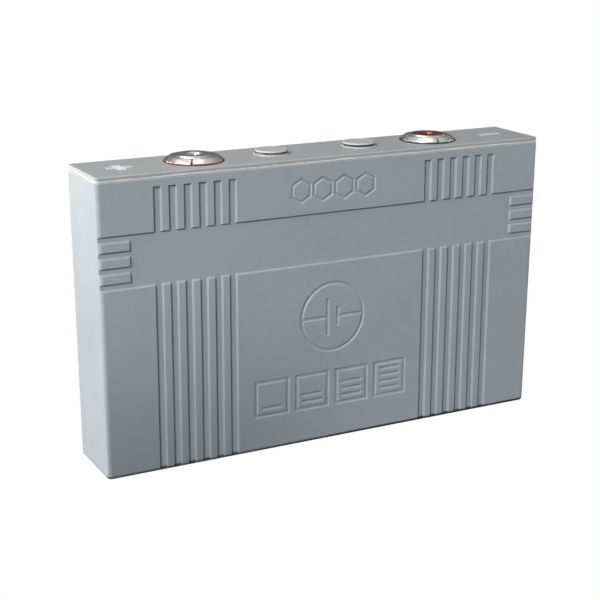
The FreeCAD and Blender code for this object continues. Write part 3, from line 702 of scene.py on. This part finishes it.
def build_case():
    """Case and lid, with rounded edges."""
    shell = from_cad("case_body", CASE_CUTS)
    case = new_object("case_body_shell", shell, case_plastic, "cell", "case_plastic", "case_body")
    round_edges(case, CASE_ROUND, case_edge)
    plate = from_cad("lid", LID_CUTS)
    lid = new_object("lid_plate", plate, lid_plastic, "cell", "lid_plastic", "lid")
    round_edges(lid, LID_ROUND, lid_edge)


def seam_path():
    """Points and outward directions round the seam, evenly spaced."""
    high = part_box("case_body")[1]
    half_x, half_y = high.x - SEAM_INSET, high.y - SEAM_INSET
    corner = CASE_CORNER - SEAM_INSET
    straights = (2 * (half_x - corner), 2 * (half_y - corner))
    arc = corner * math.pi / 2
    total = 2 * sum(straights) + 4 * arc
    path = []
    for index in range(BEAD_POINTS):
        run = total * index / BEAD_POINTS
        for side in range(4):
            straight = straights[side % 2]
            turn = Matrix.Rotation(side * math.pi / 2, 2)
            reach = (half_x, half_y) if side % 2 == 0 else (half_y, half_x)
            if run <= straight:
                place = Vector((-reach[0] + corner + run, -reach[1]))
                path.append((turn @ place, turn @ Vector((0, -1))))
                break
            run -= straight
            if run <= arc:
                angle = -math.pi / 2 + run / corner
                out = Vector((math.cos(angle), math.sin(angle)))
                centre = Vector((reach[0] - corner, -reach[1] + corner))
                path.append((turn @ (centre + out * corner), turn @ out))
                break
            run -= arc
    return path


def build_weld():
    """Uneven bead along the seam, squeezed out between the case and the lid."""
    waves = []
    for period_count in BEAD_WAVES:
        strength = RNG.uniform(0.6, 1.0) / math.sqrt(period_count / BEAD_WAVES[0])
        waves.append((period_count, strength, RNG.uniform(0, 6.28)))
    reach = sum(w[1] for w in waves)
    rows = []
    for index, (place, out) in enumerate(seam_path()):
        phase = 2 * math.pi * index / BEAD_POINTS
        swell = sum(s * math.sin(n * phase + p) for n, s, p in waves) / reach
        lift = sum(s * math.sin(n * phase + 2.1 * p + 1) for n, s, p in waves) / reach
        half_out = (0.62 + 0.28 * swell) * MM
        half_up = (1.25 + 0.30 * swell) * MM
        middle = SEAM_HEIGHT + 0.30 * lift * MM
        row = []
        for step in range(BEAD_RING):
            angle = 2 * math.pi * step / BEAD_RING
            spread = place + out * (half_out * math.cos(angle))
            row.append((spread.x, spread.y, middle + half_up * math.sin(angle)))
        rows.append(row)
    mesh = grid_mesh(rows, closed_rows=True)
    sharpen(mesh, 179)
    new_object("lid_weld_bead", mesh, bead_plastic, "cell", "weld_plastic", "lid_weld")


def build_terminal(side, direction):
    """Post, ring nut and gasket of one terminal."""
    x = direction * POST_X
    first = math.radians(SLOT_ANGLE[side])
    centres = [first + 2 * math.pi * index / SLOT_COUNT for index in range(SLOT_COUNT)]
    nut = slotted_lathe(x, softened(NUT_PROFILE), SLOT_FLOOR, SLOT_HALF_WIDTH, centres)
    new_object(f"{side}_ring_nut", nut, nut_metal[side], "cell", "nut_nickel", f"{side}_terminal_nut")

    rows = [circle_row(x, radius, height) for radius, height in softened(POST_PROFILE)]
    rows += reversed(thread_rows(x, POST_THREAD_ROOT, POST_THREAD_CREST, LUG_TOP, POST_THREAD_TOP))
    rows.append(circle_row(x, POST_THREAD_CREST, LUG_TOP))
    turned = grid_mesh(rows)
    sharpen(turned, 38)
    lug = from_cad(f"{side}_terminal", [x / MM + step for step in LUG_CUTS], top=LUG_TOP)
    post = joined([turned, lug])
    new_object(f"{side}_post", post, post_metal[side], "cell", post_slot[side], f"{side}_terminal")

    gasket = lathe(x, softened(GASKET_PROFILE))
    new_object(f"{side}_seal_ring", gasket, gasket_rubber[side], "cell", gasket_slot[side], f"{side}_gasket")


def build_vent_cap():
    """Turned head on the spigot of the CAD cap."""
    underside = (0.001, 272.8, 0.0)
    head = lathe(-CAP_X, softened([underside] + CAP_HEAD_PROFILE), closed=False)
    spigot = from_cad("vent_cap", [-CAP_X / MM], top=272.9 * MM)
    new_object("vent_cap_head", joined([head, spigot]), cap_plastic, "cell", "cap_plastic", "vent_cap")


def build_fill_plug():
    """Head, neck and threaded shank in one mesh."""
    foot = [circle_row(CAP_X, radius * MM, height * MM) for radius, height in PLUG_FOOT]
    shank = thread_rows(CAP_X, PLUG_THREAD_ROOT, PLUG_THREAD_CREST, *PLUG_THREAD_SPAN)
    neck = [circle_row(CAP_X, radius * MM, height * MM) for radius, height in PLUG_NECK]
    head = [circle_row(CAP_X, radius, height) for radius, height in softened(CAP_HEAD_PROFILE)]
    plug = grid_mesh(foot + shank + neck + head)
    sharpen(plug, 38)
    new_object("fill_plug_screw", plug, cap_plastic, "plug", "cap_plastic", "fill_plug")


def build_spring():
    """Smooth round-wire spring with closed ends."""
    x, wire, coil = -CAP_X, 0.6 * MM, 6.0 * MM
    low, high = 261.65 * MM + wire, 270.45 * MM - wire
    turns, steps, ring = 5.5, 260, 14
    rows = []
    for index in range(steps + 1):
        share = index / steps
        angle = 2 * math.pi * turns * share
        ease = share - math.sin(2 * math.pi * share) / (2 * math.pi) * 0.75
        z = low + (high - low) * ease
        out = Vector((math.cos(angle), math.sin(angle), 0))
        row = []
        for step in range(ring):
            roll = 2 * math.pi * step / ring
            place = out * (coil + wire * math.cos(roll))
            row.append((x + place.x, place.y, z + wire * math.sin(roll)))
        rows.append(row)
    mesh = grid_mesh(rows)
    work = bmesh.new()
    work.from_mesh(mesh)
    bmesh.ops.holes_fill(work, edges=[e for e in work.edges if e.is_boundary])
    work.to_mesh(mesh)
    work.free()
    smooth(mesh)
    spring = new_object("vent_spring_coil", mesh, spring_steel, "cell", "spring_steel", "vent_spring")
    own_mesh(spring)


def dress_cad_nodes():
    """Materials on the CAD nodes that are shown as they are."""
    finishes = {
        "bottom_pad": pad_foam, "end_spacers": pad_foam, "top_insulator": insulator_plastic,
        "vent_body": cap_plastic, "vent_disc": valve_plastic, "vent_disc_seal": seal_rubber,
        "fill_plug_ring": seal_rubber,
    }
    for side, _ in SIDES:
        metal = foil_silver if side == "positive" else foil_copper
        finishes[f"{side}_inner_seal"] = seal_rubber
        finishes[f"{side}_clamp_plates"] = post_metal[side]
        finishes[f"{side}_tab_rivets"] = post_metal[side]
        for index in STACKS:
            finishes[f"{side}_tabs_{index}"] = metal
    for index in STACKS:
        finishes[f"electrode_stack_{index}"] = stack_block
        finishes[f"stack_wrap_{index}"] = wrap_film
    for name, finish in finishes.items():
        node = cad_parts[name]
        node.data.materials.clear()
        node.data.materials.append(finish)


def build_world():
    """World that is white to the camera, graded in reflections and a weak fill otherwise."""
    world = bpy.data.worlds.new("studio")
    bpy.context.scene.world = world
    world.use_nodes = True
    tree = world.node_tree
    surround = tree.nodes["Background"]
    path = tree.nodes.new("ShaderNodeLightPath")
    coordinates = tree.nodes.new("ShaderNodeTexCoord")
    split = tree.nodes.new("ShaderNodeSeparateXYZ")
    tree.links.new(coordinates.outputs["Generated"], split.inputs[0])
    ramp = tree.nodes.new("ShaderNodeValToRGB")
    stops = ramp.color_ramp.elements
    stops[0].position, stops[0].color = 0.0, (0.10, 0.10, 0.11, 1)
    stops[1].position, stops[1].color = 0.85, (1.0, 1.0, 1.0, 1)
    for height, shade in ((0.16, 0.20), (0.34, 0.34), (0.6, 0.52)):
        stops.new(height).color = (shade, shade, 1.02 * shade, 1)
    tree.links.new(split.outputs[2], ramp.inputs[0])
    tint = tree.nodes.new("ShaderNodeMix")
    tint.data_type = "RGBA"
    tree.links.new(path.outputs["Is Camera Ray"], tint.inputs[0])
    tree.links.new(ramp.outputs[0], tint.inputs[6])
    tint.inputs[7].default_value = (1, 1, 1, 1)
    tree.links.new(tint.outputs[2], surround.inputs["Color"])
    mirrored = tree.nodes.new("ShaderNodeMix")
    tree.links.new(path.outputs["Is Glossy Ray"], mirrored.inputs[0])
    mirrored.inputs[2].default_value = WORLD_STRENGTH
    mirrored.inputs[3].default_value = MIRRORED_STRENGTH
    strength = tree.nodes.new("ShaderNodeMix")
    tree.links.new(path.outputs["Is Camera Ray"], strength.inputs[0])
    tree.links.new(mirrored.outputs[0], strength.inputs[2])
    strength.inputs[3].default_value = 1.0
    tree.links.new(strength.outputs[0], surround.inputs["Strength"])


def build_floor():
    """Floor that is white to the camera and dark grey to the light."""
    bpy.ops.mesh.primitive_plane_add(size=12.0)
    floor = bpy.context.object
    floor.name = "floor"
    material = bpy.data.materials.new("pale_floor")
    material.use_nodes = True
    tree = material.node_tree
    shader = tree.nodes["Principled BSDF"]
    shader.inputs["Base Color"].default_value = (0.10, 0.10, 0.10, 1)
    shader.inputs["Roughness"].default_value = 1.0
    shader.inputs["Specular IOR Level"].default_value = 0.0
    glow = tree.nodes.new("ShaderNodeEmission")
    glow.inputs["Color"].default_value = (1, 1, 1, 1)
    path = tree.nodes.new("ShaderNodeLightPath")
    choose = tree.nodes.new("ShaderNodeMixShader")
    tree.links.new(path.outputs["Is Camera Ray"], choose.inputs[0])
    tree.links.new(shader.outputs[0], choose.inputs[1])
    tree.links.new(glow.outputs[0], choose.inputs[2])
    tree.links.new(choose.outputs[0], tree.nodes["Material Output"].inputs["Surface"])
    floor.data.materials.append(material)


def build_lights():
    """Soft studio lights, not seen by the camera."""
    for name, place, target, size, energy, colour in LIGHTS:
        lamp = bpy.data.lights.new(name, "AREA")
        lamp.shape = "RECTANGLE"
        lamp.size, lamp.size_y = size
        lamp.energy = energy
        lamp.color = colour
        holder = bpy.data.objects.new(name, lamp)
        bpy.context.scene.collection.objects.link(holder)
        holder.location = place
        aim = Vector(target) - Vector(place)
        holder.rotation_mode = "QUATERNION"
        holder.rotation_quaternion = aim.to_track_quat("-Z", "Y")
        holder.visible_camera = False


def set_view():
    """Plain colour management."""
    settings = bpy.context.scene.view_settings
    settings.view_transform = "Standard"
    settings.look = "None"
    settings.exposure = 0.0
    settings.gamma = 1.0


def build_camera():
    """The view the cell is shown in."""
    data = bpy.data.cameras.new("camera")
    data.sensor_width = CAMERA_SENSOR
    data.lens = CAMERA_LENS
    data.clip_start, data.clip_end = 0.05, 50.0
    camera = bpy.data.objects.new("camera", data)
    bpy.context.scene.collection.objects.link(camera)
    axes = Matrix((CAMERA_RIGHT, CAMERA_UP, CAMERA_BACK)).transposed()
    camera.matrix_world = Matrix.Translation(Vector(CAMERA_PLACE)) @ axes.to_4x4()
    bpy.context.scene.camera = camera


build_case()
build_weld()
for side, direction in SIDES:
    build_terminal(side, direction)
build_vent_cap()
build_fill_plug()
build_spring()
dress_cad_nodes()
build_world()
build_floor()
build_lights()
set_view()
build_camera()
